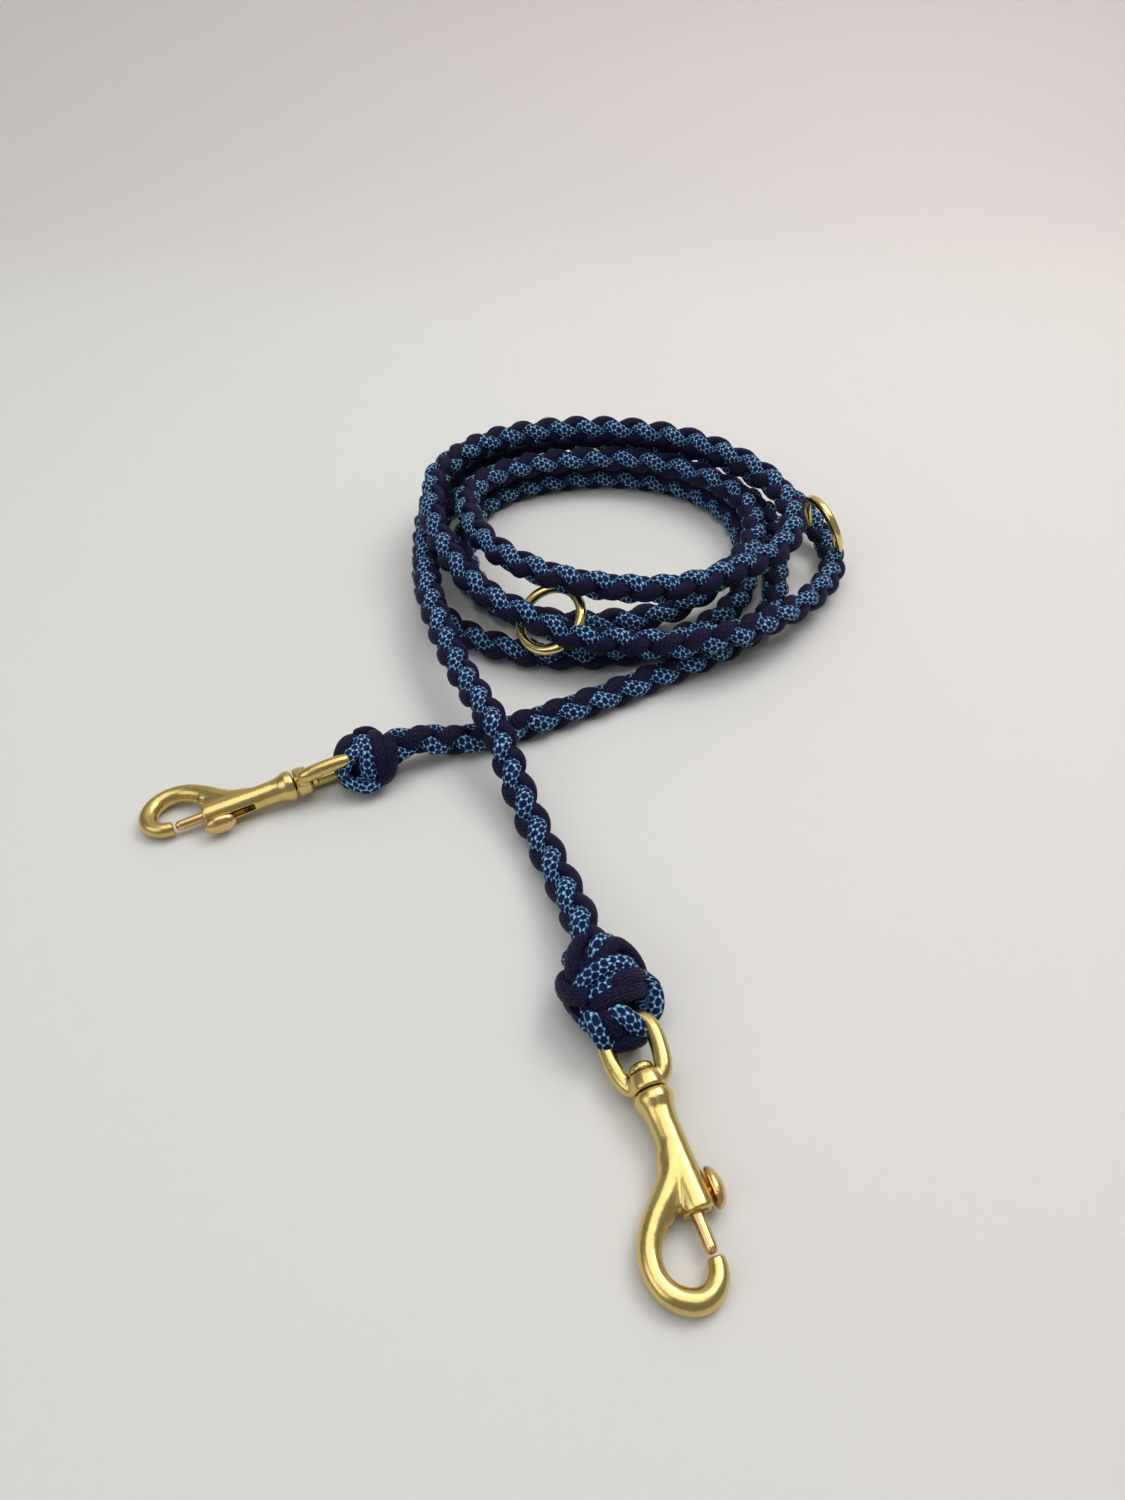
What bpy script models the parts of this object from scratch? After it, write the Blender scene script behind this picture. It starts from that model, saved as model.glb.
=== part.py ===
"""Adjustable braided lead: rope coil, two O-rings, two swivel-eye bolt snaps.

The lead lies on a flat surface, wound clockwise from its front knot to its left knot.
All driving sizes are in millimetres here and become metres in each mesh. +Z is up.
Run is the order along the rope; S, Q, N are a snap's own axes: along it from the
collar towards the hook, across it towards the thumb knob, and up.
"""
import math

import bmesh
import bpy
from mathutils import Matrix, Vector

for old in list(bpy.data.objects):
    bpy.data.objects.remove(old, do_unlink=True)

MM = 0.001

# ---- where the coil's centre lies in the row frame (origin: base centre of the metal) ----
COIL_CENTRE = (26.2, 120.55)

# ---- rope ----
ROPE_D = 10.0
ROPE_SIDES = 10
ROPE_STEP = 11.0
ROUTE = [
    # from the front knot, over the outgoing run
    (-11.1, -180.1, 9.8), (-12.5, -175.6, 9.8), (-17, -161, 7.2), (-26, -137, 6),
    (-33, -119, 10.8), (-37, -108, 14.6), (-41, -99, 15.8), (-50, -79, 14.6), (-58, -58, 15.2),
    # turn one: left and back on the second layer, down at the right through ring one
    (-64.4, -36, 15.6), (-68, -12, 15.6), (-70, 10, 15.6), (-67, 38, 15.6), (-56, 58, 15.6),
    (-38, 72, 15.6), (-6, 80.5, 15.6), (26, 76, 15.6), (50, 62, 15.6), (65, 44.5, 15.3),
    (77.5, 28.5, 11.4), (84, 14, 7), (85.2, 2, 6.4), (81, -13, 7), (69, -32, 9.8), (56, -47, 13.4),
    # turn two: front over everything, through ring two, left over turn one
    (40, -59, 15.8), (18, -65.5, 16), (-2, -64, 15.6), (-15.5, -60.6, 15.6), (-28.5, -54, 18.4),
    (-39.6, -46.6, 19.3), (-48, -37.7, 20.4), (-55, -28.4, 22), (-61, -16, 24), (-65.6, -2.4, 25.6),
    (-67, 13, 26.2), (-66.8, 27.5, 26.2), (-61, 43, 26.2), (-45.8, 59, 26.2), (-25, 67.5, 26.2),
    (-4, 69.5, 26.2), (18, 66, 26.2), (36, 57.5, 26.2), (51, 43.5, 26.2), (62, 26, 26.2),
    # turn three: curls down on top inside, then back on the second layer
    (66.6, 5, 26.2), (64.6, -12, 26.2), (57, -25.5, 26.2), (46.3, -34.8, 26.4), (26, -47.6, 27.2),
    (5, -52.4, 28.6), (-15.8, -49, 29.6), (-28, -39.8, 28), (-39.2, -26.4, 25.7), (-47.8, -10.8, 23.8),
    (-53, 6, 22), (-55, 24, 19.6), (-50, 41, 17.4), (-36, 55, 16), (-16, 62, 15.5),
    (6, 63.5, 15.5), (28, 57, 15.5), (44, 44, 15.5), (54, 26, 15.5), (55, 9, 15.5),
    # turn four: over the ground turn, down between the front runs, in and round the back
    (50.5, -8, 15.5), (41, -21.5, 14.8), (29, -30.5, 10), (14, -36, 5.9), (-4, -39, 5.2),
    (-21, -38.5, 5.2), (-33.5, -33.5, 5.2), (-44.5, -23.5, 5.2), (-52, -10, 5.2), (-56, 6, 5.2),
    (-56, 23, 5.2), (-51, 41, 5.2), (-38.5, 56, 5.2), (-16, 65.5, 5.2), (8, 67, 5.2),
    (32, 58.5, 5.2), (46, 44, 5.2), (53, 26, 5.2), (53, 8, 5.2),
    # turn five: outermost on the ground, hidden back, then out under the front
    (51, -9, 5.2), (46, -24, 5.2), (37, -37, 5.2), (20, -50, 5.2), (0, -56.5, 5.2),
    (-12, -58, 5.2), (-24, -57.5, 5.2), (-38, -53.5, 5.2), (-50, -47, 5.2), (-60, -37, 5.2),
    (-67, -22, 5.2), (-71, 0, 5.2), (-70, 24, 5.2), (-64, 45, 5.2), (-52, 62, 5.2),
    (-30, 75, 5.2), (-4, 80.5, 5.2), (24, 77, 5.2), (46, 65, 5.2), (60, 48, 5.2),
    (66.5, 29, 5.2), (65.5, 8, 5.2), (62, -10, 5.2), (58.5, -27, 5.2), (50, -42, 5.2),
    (36, -54.5, 5.2), (18, -66, 5.2), (0, -77, 5.2), (-20, -88, 5.2), (-42, -98.3, 5.2),
    (-54, -101.6, 6.4), (-61.9, -104.2, 9.0), (-65.6, -105.9, 9.4),
]

# ---- rings: centre, axis, wire-centre radius, wire ----
RING_R = 11.3
RING_WIRE = 3.5
RINGS = {
    "ring_1": ((81.3, 9.0, 15.2), (0.89, 0.33, 0.32)),
    "ring_2": ((-22.0, -53.0, 17.0), (-0.42, -0.43, 0.80)),
}
RING_CLEAR = 0.35

# ---- snaps: collar place, flat direction, roll of the eye, knot length and radii ----
SNAP_TILT = math.radians(5.0)
COLLAR_Z = 6.35
BASE_Z = -0.097
SNAPS = {
    "front": dict(collar=(1.8, -217.9), along=(0.3226, -0.9465), roll=20.0,
                  knot=(-20.5, -39.1), knot_q=9.7, knot_n=8.8, knot_off=-0.8),
    "left": dict(collar=(-96.9, -120.6), along=(-0.9037, -0.4283), roll=57.0,
                 knot=(-20.5, -32.9), knot_q=8.5, knot_n=8.3, knot_off=1.0),
}
COLLAR_R = 4.55
NECK_R = 3.45
BARREL_R = 3.7
NOSE_S = 26.8
STEM_R = 1.6
HEAD_R = 2.9
EYE_BASE = (-4.7, -0.3)          # crossbar of the eye along S
BOW_S = -18.2                    # centre of the wire of the eye's bow
EYE_HALF = 6.1                   # half width of the eye, wire centre to wire centre
EYE_WIRE_R = 1.75
BOLT_R = 1.45
BOLT_Q = -0.6                    # the bolt runs a little to the hook's side of the axis
BOLT_SPAN = (15.6, 34.9)
BORE_R = 1.78
BORE_END = 4.8
TRAVEL = 8.2
SLOT_S = 12.6
SLOT_W = 2.6
KNOB_S = 23.4
LOOP_R = 4.35
LOOP_WIRE_R = 1.75
LOOP_Q = 1.95
SPRING_TURNS = 6

HOOK = [  # S, Q, radius
    (15.0, -0.6, 3.2), (19.5, -3.4, 3.15), (23.5, -7.6, 3.0), (27.5, -11.4, 2.7),
    (31.5, -13.2, 2.5), (35.5, -13.4, 2.45), (39.2, -11.7, 2.5), (41.6, -8.6, 2.6),
    (41.9, -5.2, 2.55), (40.2, -2.3, 2.3), (37.6, -0.9, 2.1), (35.4, -0.6, 1.9),
]
WEB = [(13.0, -0.3, 3.3), (19.0, -1.8, 3.3), (24.0, -5.2, 2.75), (26.6, -8.2, 2.4)]

parts = bpy.data.collections.new("braided_lead")
cutters = bpy.data.collections.new("cutters")
for group in (parts, cutters):
    bpy.context.scene.collection.children.link(group)


def material(name, colour, metallic, roughness):
    mat = bpy.data.materials.new(name)
    mat.use_nodes = True
    shader = mat.node_tree.nodes["Principled BSDF"]
    shader.inputs["Base Color"].default_value = (*colour, 1.0)
    shader.inputs["Metallic"].default_value = metallic
    shader.inputs["Roughness"].default_value = roughness
    return mat


BRASS = (0.72, 0.53, 0.17)
BRONZE = (0.74, 0.47, 0.22)
NAVY = (0.012, 0.014, 0.06)
PATTERN = (0.02, 0.10, 0.25)
STEEL = (0.55, 0.56, 0.58)


def add(name, bm, colour, metallic=0.0, roughness=0.8, cutter=False):
    """Turn a bmesh in millimetres into an object in metres."""
    bmesh.ops.remove_doubles(bm, verts=bm.verts, dist=1e-4)
    bmesh.ops.recalc_face_normals(bm, faces=bm.faces)
    bmesh.ops.scale(bm, vec=(MM, MM, MM), verts=bm.verts)
    mesh = bpy.data.meshes.new(name)
    bm.to_mesh(mesh)
    bm.free()
    obj = bpy.data.objects.new(name, mesh)
    if cutter:
        obj.display_type = "WIRE"
        obj.hide_render = True
        cutters.objects.link(obj)
    else:
        mesh.materials.append(material(name, colour, metallic, roughness))
        parts.objects.link(obj)
    return obj


def apply_boolean(obj, other, operation):
    mod = obj.modifiers.new(operation.lower(), "BOOLEAN")
    mod.operation = operation
    mod.object = other
    mod.solver = "EXACT"


def bake(obj):
    """Freeze an object's modifiers into its mesh."""
    deps = bpy.context.evaluated_depsgraph_get()
    done = bpy.data.meshes.new_from_object(obj.evaluated_get(deps))
    obj.modifiers.clear()
    obj.data = done


def smooth_path(points, samples=40):
    """Cubic through the points (natural ends, root-chord spacing), densely sampled."""
    pts = [Vector(p) for p in points]
    n = len(pts)
    t = [0.0]
    for a, b in zip(pts, pts[1:]):
        t.append(t[-1] + math.sqrt((b - a).length))
    h = [t[i + 1] - t[i] for i in range(n - 1)]
    # second derivatives by the tridiagonal rule
    low, mid, rhs = [0.0] * n, [1.0] * n, [Vector((0, 0, 0)) for _ in range(n)]
    up = [0.0] * n
    for i in range(1, n - 1):
        low[i], mid[i], up[i] = h[i - 1], 2 * (h[i - 1] + h[i]), h[i]
        rhs[i] = 6 * ((pts[i + 1] - pts[i]) / h[i] - (pts[i] - pts[i - 1]) / h[i - 1])
    for i in range(1, n):
        f = low[i] / mid[i - 1]
        mid[i] -= f * up[i - 1]
        rhs[i] = rhs[i] - f * rhs[i - 1]
    m = [Vector((0, 0, 0)) for _ in range(n)]
    for i in range(n - 2, 0, -1):
        m[i] = (rhs[i] - up[i] * m[i + 1]) / mid[i]
    out = []
    for i in range(n - 1):
        for k in range(samples):
            u = k / samples * h[i]
            a, b = h[i] - u, u
            out.append(
                m[i] * a**3 / (6 * h[i]) + m[i + 1] * b**3 / (6 * h[i])
                + (pts[i] / h[i] - m[i] * h[i] / 6) * a
                + (pts[i + 1] / h[i] - m[i + 1] * h[i] / 6) * b
            )
    return out + [pts[-1]]


def evenly(path, step):
    """Points at equal spacing along a dense path."""
    run = [0.0]
    for a, b in zip(path, path[1:]):
        run.append(run[-1] + (b - a).length)
    count = max(2, round(run[-1] / step))
    out, j = [], 0
    for k in range(count + 1):
        s = run[-1] * k / count
        while j < len(run) - 2 and run[j + 1] < s:
            j += 1
        f = (s - run[j]) / max(run[j + 1] - run[j], 1e-9)
        out.append(path[j].lerp(path[j + 1], min(max(f, 0), 1)))
    return out


def sweep(path, radius, sides, closed=False, flat=1.0, start=None):
    """A tube along a path; radius is a number or a list, flat squashes it sideways."""
    pts = [Vector(p) for p in path]
    n = len(pts)
    radii = radius if isinstance(radius, (list, tuple)) else [radius] * n
    bm = bmesh.new()
    tangents = []
    for i in range(n):
        a = pts[(i - 1) % n] if closed or i else pts[0]
        b = pts[(i + 1) % n] if closed or i < n - 1 else pts[-1]
        tangents.append((b - a).normalized())
    side = Vector(start) if start else tangents[0].orthogonal()
    rings = []
    for i in range(n):
        side = (side - tangents[i] * side.dot(tangents[i])).normalized()
        other = tangents[i].cross(side)
        rings.append([
            bm.verts.new(pts[i] + radii[i] * (
                side * math.cos(2 * math.pi * k / sides)
                + other * math.sin(2 * math.pi * k / sides) * flat))
            for k in range(sides)
        ])
    last = n if closed else n - 1
    for i in range(last):
        a, b = rings[i], rings[(i + 1) % n]
        for k in range(sides):
            j = (k + 1) % sides
            bm.faces.new((a[k], a[j], b[j], b[k]))
    if not closed:
        bm.faces.new(list(reversed(rings[0])))
        bm.faces.new(rings[-1])
    return bm


def lathe(profile, sides, wide=1.0, high=1.0):
    """A solid of revolution about S from (S, radius) pairs."""
    bm = bmesh.new()
    rings = []
    for s, r in profile:
        rings.append([
            bm.verts.new((s, r * wide * math.cos(2 * math.pi * k / sides),
                          r * high * math.sin(2 * math.pi * k / sides)))
            for k in range(sides)
        ])
    for a, b in zip(rings, rings[1:]):
        for k in range(sides):
            j = (k + 1) % sides
            bm.faces.new((a[k], a[j], b[j], b[k]))
    bm.faces.new(list(reversed(rings[0])))
    bm.faces.new(rings[-1])
    return bm


def box(lo, hi):
    bm = bmesh.new()
    bmesh.ops.create_cube(bm, size=1.0)
    for v in bm.verts:
        v.co = Vector([l + (h - l) * (c + 0.5) for l, h, c in zip(lo, hi, v.co)])
    return bm


def moved(bm, matrix):
    bmesh.ops.transform(bm, matrix=matrix, verts=bm.verts)
    return bm


def rolled(angle):
    return Matrix.Rotation(math.radians(angle), 4, "X")


CENTRE = Vector((*COIL_CENTRE, BASE_Z))


def snap_matrix(spec):
    """Millimetres in S, Q, N to millimetres in the row frame."""
    flat = Vector((*spec["along"], 0.0)).normalized()
    s = (flat * math.cos(SNAP_TILT) - Vector((0, 0, 1)) * math.sin(SNAP_TILT)).normalized()
    q = Vector((-flat.y, flat.x, 0.0))
    n = s.cross(q)
    origin = Vector((*spec["collar"], COLLAR_Z)) + CENTRE
    m = Matrix((s, q, n)).transposed().to_4x4()
    m.translation = origin
    return m


# ---------------------------------------------------------------- rope and rings
route = evenly(smooth_path([Vector(p) + CENTRE for p in ROUTE]), ROPE_STEP)
rope = add("braided_rope", sweep(route, ROPE_D / 2, ROPE_SIDES), NAVY)


def torus_path(centre, axis, radius, count):
    axis = Vector(axis).normalized()
    u = axis.orthogonal().normalized()
    v = axis.cross(u)
    c = Vector(centre) + CENTRE
    return [c + radius * (u * math.cos(2 * math.pi * k / count)
                          + v * math.sin(2 * math.pi * k / count)) for k in range(count)]


for name, (centre, axis) in RINGS.items():
    add(name, sweep(torus_path(centre, axis, RING_R, 36), RING_WIRE / 2, 10, closed=True),
        BRASS, 1.0, 0.25)
    hole = add(name + "_hole",
               sweep(torus_path(centre, axis, RING_R, 36), RING_WIRE / 2 + RING_CLEAR, 10,
                     closed=True), BRASS, cutter=True)
    apply_boolean(rope, hole, "DIFFERENCE")
bake(rope)


# ---------------------------------------------------------------- snaps, eyes and knots
def eye_path():
    """Centre line of the eye's limbs and bow, in S and Q, from crossbar end to crossbar end."""
    half = EYE_HALF
    points = [(-2.6, -half + 1.4), (-4.6, -half + 0.25), (-8.5, -half), (-12.5, -half),
              (-15.4, -half + 0.6), (-17.4, -half + 2.1), (-18.1, -half + 3.8), (BOW_S, 0.0)]
    points += [(s, -q) for s, q in reversed(points[:-1])]
    return evenly(smooth_path([Vector((s, q, 0)) for s, q in points], 12), 1.9)


def snap_parts(name, spec):
    at = snap_matrix(spec)

    # body: collar, neck, barrel, hook, stem and peened head, bored and slotted
    body = add(name + "_snap_body", moved(lathe([
        (0.0, COLLAR_R - 0.5), (0.5, COLLAR_R), (3.0, COLLAR_R), (4.6, NECK_R + 0.45),
        (7.0, NECK_R), (14.0, NECK_R + 0.05), (20.0, BARREL_R), (NOSE_S, BARREL_R - 0.1),
    ], 20), at), BRASS, 1.0, 0.3)
    hook = evenly_with_radius(HOOK, 2.1)
    apply_boolean(body, add(name + "_hook_form", moved(sweep(*hook, 12), at), BRASS,
                            cutter=True), "UNION")
    web = evenly_with_radius(WEB, 3.0)
    apply_boolean(body, add(name + "_web_form", moved(sweep(*web, 12), at), BRASS,
                            cutter=True), "UNION")
    head_s = EYE_BASE[0] - 0.3
    apply_boolean(body, add(name + "_stem_form", moved(lathe([
        (0.4, STEM_R), (head_s, STEM_R), (head_s, HEAD_R), (head_s - 1.3, HEAD_R),
        (head_s - 1.9, HEAD_R - 0.7),
    ][::-1], 16), at), BRASS, cutter=True), "UNION")
    bore = lathe([(BORE_END, BORE_R), (NOSE_S + 6.0, BORE_R)], 16)
    apply_boolean(body, add(name + "_bore", moved(bore, at @ Matrix.Translation((0, BOLT_Q, 0))),
                            BRASS, cutter=True), "DIFFERENCE")
    slot = box((SLOT_S, BOLT_Q, -SLOT_W / 2), (NOSE_S + 1.0, 8.0, SLOT_W / 2))
    apply_boolean(body, add(name + "_slot", moved(slot, at), BRASS, cutter=True), "DIFFERENCE")
    bake(body)

    # swivel eye: crossbar with the stem's bore, limbs and bow
    turned = at @ rolled(spec["roll"])
    eye = add(name + "_swivel_eye", moved(lathe([
        (EYE_BASE[0], COLLAR_R - 0.9), (EYE_BASE[0] + 0.5, COLLAR_R - 0.2),
        (EYE_BASE[1] - 0.4, COLLAR_R - 0.05), (EYE_BASE[1], COLLAR_R - 0.45),
    ], 18), turned), BRASS, 1.0, 0.3)
    limbs = eye_path()
    apply_boolean(eye, add(name + "_limb_form", moved(sweep(
        limbs, EYE_WIRE_R, 12, start=(0, 0, 1)), turned), BRASS, cutter=True), "UNION")
    apply_boolean(eye, add(name + "_eye_bore", moved(lathe(
        [(-12.0, HEAD_R + 0.3), (EYE_BASE[0] + 0.001, HEAD_R + 0.3),
         (EYE_BASE[0] + 0.001, STEM_R + 0.3), (1.0, STEM_R + 0.3)], 16), at), BRASS,
        cutter=True), "DIFFERENCE")
    bake(eye)

    # bolt with its thumb knob, and the spring behind it
    line = at @ Matrix.Translation((0, BOLT_Q, 0))
    add(name + "_bolt", moved(lathe([
        (BOLT_SPAN[0], BOLT_R), (BOLT_SPAN[1] - 1.0, BOLT_R), (BOLT_SPAN[1], BOLT_R - 0.45),
    ], 14), line), BRONZE, 1.0, 0.3)
    knob = sweep([(KNOB_S + 0.1, BOLT_R + 0.2, 0), (KNOB_S, 4.6, 0), (KNOB_S - 0.1, 5.2, 0),
                  (KNOB_S - 0.2, 5.8, 0), (KNOB_S - 0.35, 6.6, 0), (KNOB_S - 0.5, 7.2, 0)],
                 [0.95, 0.95, 2.9, 3.2, 2.8, 1.6], 14, start=(1, 0, 0))
    add(name + "_thumb_knob", moved(knob, line), BRONZE, 1.0, 0.3)
    turns, per_turn, wire = SPRING_TURNS, 10, 0.24
    lo, hi = BORE_END + 0.25 + wire, BOLT_SPAN[0] - 0.12 - wire
    coil = [Vector((lo + (hi - lo) * k / (turns * per_turn),
                    (BORE_R - 0.25 - wire) * math.cos(2 * math.pi * k / per_turn),
                    (BORE_R - 0.25 - wire) * math.sin(2 * math.pi * k / per_turn)))
            for k in range(turns * per_turn + 1)]
    add(name + "_bolt_spring", moved(sweep(coil, wire, 6), line), STEEL, 1.0, 0.35)

    # knot: a pulled-tight lump of strands; its two loops go round the bow
    lo, hi = spec["knot"]
    wide = spec["knot_q"]
    steps = 8
    profile = []
    for k in range(steps + 1):
        f = k / steps
        profile.append((hi + (lo - hi) * f, wide * (0.56 + 0.44 * math.sin(math.pi * f) ** 0.7)))
    beside = at @ Matrix.Translation((0, spec["knot_off"], 0))
    add(name + "_knot", moved(lathe(profile, 20, 1.0, spec["knot_n"] / wide), beside),
        NAVY if name == "front" else PATTERN)
    for side, tone, label in ((-1, PATTERN, "patterned"), (1, NAVY, "navy")):
        arc = [Vector((lo + 0.45, side * LOOP_Q, -LOOP_R))]
        arc += [Vector((BOW_S + LOOP_R * math.sin(math.pi * k / 10), side * LOOP_Q,
                        -LOOP_R * math.cos(math.pi * k / 10))) for k in range(11)]
        arc.append(Vector((lo + 0.45, side * LOOP_Q, LOOP_R)))
        add(name + "_" + label + "_loop",
            moved(sweep(arc, LOOP_WIRE_R, 10, start=(0, 1, 0)), turned), tone)


def evenly_with_radius(rows, step):
    """Smooth (S, Q, radius) rows into a path and its radii."""
    dense = smooth_path([Vector((s, q, r)) for s, q, r in rows], 16)
    path = evenly([Vector(p) for p in dense], step)
    return [Vector((p.x, p.y, 0.0)) for p in path], [p.z for p in path]


for snap_name, snap_spec in SNAPS.items():
    snap_parts(snap_name, snap_spec)
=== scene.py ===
"""Looks for the adjustable braided lead: cords, knots, brass snaps and rings, and the studio.

Millimetres in the row frame are used throughout and become metres in each mesh.
"""
import math

import bmesh
import bpy
import numpy as np
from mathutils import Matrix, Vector


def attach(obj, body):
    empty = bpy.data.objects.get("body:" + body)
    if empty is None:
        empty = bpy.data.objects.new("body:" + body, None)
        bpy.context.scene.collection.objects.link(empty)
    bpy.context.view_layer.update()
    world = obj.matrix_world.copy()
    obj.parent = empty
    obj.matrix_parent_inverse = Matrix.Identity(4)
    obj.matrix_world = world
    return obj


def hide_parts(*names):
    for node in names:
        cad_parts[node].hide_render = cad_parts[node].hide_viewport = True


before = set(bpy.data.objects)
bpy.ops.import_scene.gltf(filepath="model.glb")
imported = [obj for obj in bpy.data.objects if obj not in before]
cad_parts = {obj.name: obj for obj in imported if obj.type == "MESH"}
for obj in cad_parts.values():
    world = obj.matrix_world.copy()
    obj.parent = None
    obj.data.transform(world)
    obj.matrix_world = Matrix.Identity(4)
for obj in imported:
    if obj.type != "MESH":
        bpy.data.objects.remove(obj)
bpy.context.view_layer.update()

MM = 0.001
CENTRE = np.array([26.2, 120.55, -0.097])    # adds to places measured from the coil's middle

# ---------------------------------------------------------------- camera
CAMERA_PLACE = (-18.0, -328.0, 215.5)
CAMERA_PITCH = 43.3      # degrees below level
camera_data = bpy.data.cameras.new("camera")
camera_data.sensor_width = 36.0
camera_data.lens = 24.0
camera_data.clip_start = 0.005
camera_data.clip_end = 20.0
camera = bpy.data.objects.new("camera", camera_data)
camera.location = Vector((CENTRE + np.array(CAMERA_PLACE)) * MM)
camera.rotation_euler = (math.radians(90.0 - CAMERA_PITCH), 0.0, 0.0)
bpy.context.scene.collection.objects.link(camera)
bpy.context.scene.camera = camera

# ---------------------------------------------------------------- sizes and places
PITCH = 23.0             # one full turn of a strand round the braid
ROUTE = [
    # from the front knot, over the outgoing run
    (-11.1, -180.1, 9.8), (-12.5, -175.6, 9.8), (-17, -161, 7.2), (-26, -137, 6),
    (-33, -119, 10.8), (-37, -108, 14.6), (-41, -99, 15.8), (-50, -79, 14.6), (-58, -58, 15.2),
    # turn one: left and back on the second layer, down at the right through ring one
    (-64.4, -36, 15.6), (-68, -12, 15.6), (-70, 10, 15.6), (-67, 38, 15.6), (-56, 58, 15.6),
    (-38, 72, 15.6), (-6, 80.5, 15.6), (26, 76, 15.6), (50, 62, 15.6), (65, 44.5, 15.3),
    (77.5, 28.5, 11.4), (84, 14, 7), (85.2, 2, 6.4), (81, -13, 7), (69, -32, 9.8), (56, -47, 13.4),
    # turn two: front over everything, through ring two, left over turn one
    (40, -59, 15.8), (18, -65.5, 16), (-2, -64, 15.6), (-15.5, -60.6, 15.6), (-28.5, -54, 18.4),
    (-39.6, -46.6, 19.3), (-48, -37.7, 20.4), (-55, -28.4, 22), (-61, -16, 24), (-65.6, -2.4, 25.6),
    (-67, 13, 26.2), (-66.8, 27.5, 26.2), (-61, 43, 26.2), (-45.8, 59, 26.2), (-25, 67.5, 26.2),
    (-4, 69.5, 26.2), (18, 66, 26.2), (36, 57.5, 26.2), (51, 43.5, 26.2), (62, 26, 26.2),
    # turn three: curls down on top inside, then back on the second layer
    (66.6, 5, 26.2), (64.6, -12, 26.2), (57, -25.5, 26.2), (46.3, -34.8, 26.4), (26, -47.6, 27.2),
    (5, -52.4, 28.6), (-15.8, -49, 29.6), (-28, -39.8, 28), (-39.2, -26.4, 25.7),
    (-47.8, -10.8, 23.8), (-53, 6, 22), (-55, 24, 19.6), (-50, 41, 17.4), (-36, 55, 16),
    (-16, 62, 15.5), (6, 63.5, 15.5), (28, 57, 15.5), (44, 44, 15.5), (54, 26, 15.5),
    (55, 9, 15.5),
    # turn four: over the ground turn, down between the front runs, in and round the back
    (50.5, -8, 15.5), (41, -21.5, 14.8), (29, -30.5, 10), (14, -36, 5.9), (-4, -39, 5.2),
    (-21, -38.5, 5.2), (-33.5, -33.5, 5.2), (-44.5, -23.5, 5.2), (-52, -10, 5.2), (-56, 6, 5.2),
    (-56, 23, 5.2), (-51, 41, 5.2), (-38.5, 56, 5.2), (-16, 65.5, 5.2), (8, 67, 5.2),
    (32, 58.5, 5.2), (46, 44, 5.2), (53, 26, 5.2), (53, 8, 5.2),
    # turn five: outermost on the ground, hidden back, then out under the front
    (51, -9, 5.2), (46, -24, 5.2), (37, -37, 5.2), (20, -50, 5.2), (0, -56.5, 5.2),
    (-12, -58, 5.2), (-24, -57.5, 5.2), (-38, -53.5, 5.2), (-50, -47, 5.2), (-60, -37, 5.2),
    (-67, -22, 5.2), (-71, 0, 5.2), (-70, 24, 5.2), (-64, 45, 5.2), (-52, 62, 5.2),
    (-30, 75, 5.2), (-4, 80.5, 5.2), (24, 77, 5.2), (46, 65, 5.2), (60, 48, 5.2),
    (66.5, 29, 5.2), (65.5, 8, 5.2), (62, -10, 5.2), (58.5, -27, 5.2), (50, -42, 5.2),
    (36, -54.5, 5.2), (18, -66, 5.2), (0, -77, 5.2), (-20, -88, 5.2), (-42, -98.3, 5.2),
    (-54, -101.6, 6.4), (-61.9, -104.2, 9.0), (-65.6, -105.9, 9.4),
]
KNOT_OVERLAP = 5.0       # how far the braid's own strands run on inside each knot

RING_R = 11.3
RING_WIRE_R = 1.75
RINGS = {                # middle, axis
    "ring_1": ((81.3, 9.0, 15.2), (0.89, 0.33, 0.32)),
    "ring_2": ((-22.0, -53.0, 17.0), (-0.42, -0.43, 0.80)),
}

# Each snap has its own axes: S along it from the collar, Q across it and N up from it.
SNAP_TILT = math.radians(5.0)
COLLAR_Z = 6.35
SNAPS = {                # where the collar is, which way the snap points, the eye's roll
    "front": dict(collar=(1.8, -217.9), along=(0.3226, -0.9465), roll=20.0),
    "left": dict(collar=(-96.9, -120.6), along=(-0.9037, -0.4283), roll=57.0),
}
BOW_S = -18.2            # middle of the eye's bow, where it hinges in the knot
BOLT_Q = -0.6
BOLT_SPAN = (15.6, 34.9)
BOLT_R = 1.45
BORE_R = 1.78
BORE_END = 4.8
NOSE_S = 26.8            # flat end of the barrel
KNOB_S = 23.4
SLOT_S = 12.6            # closed end of the knob's slot
SLOT_W = 2.6


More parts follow.
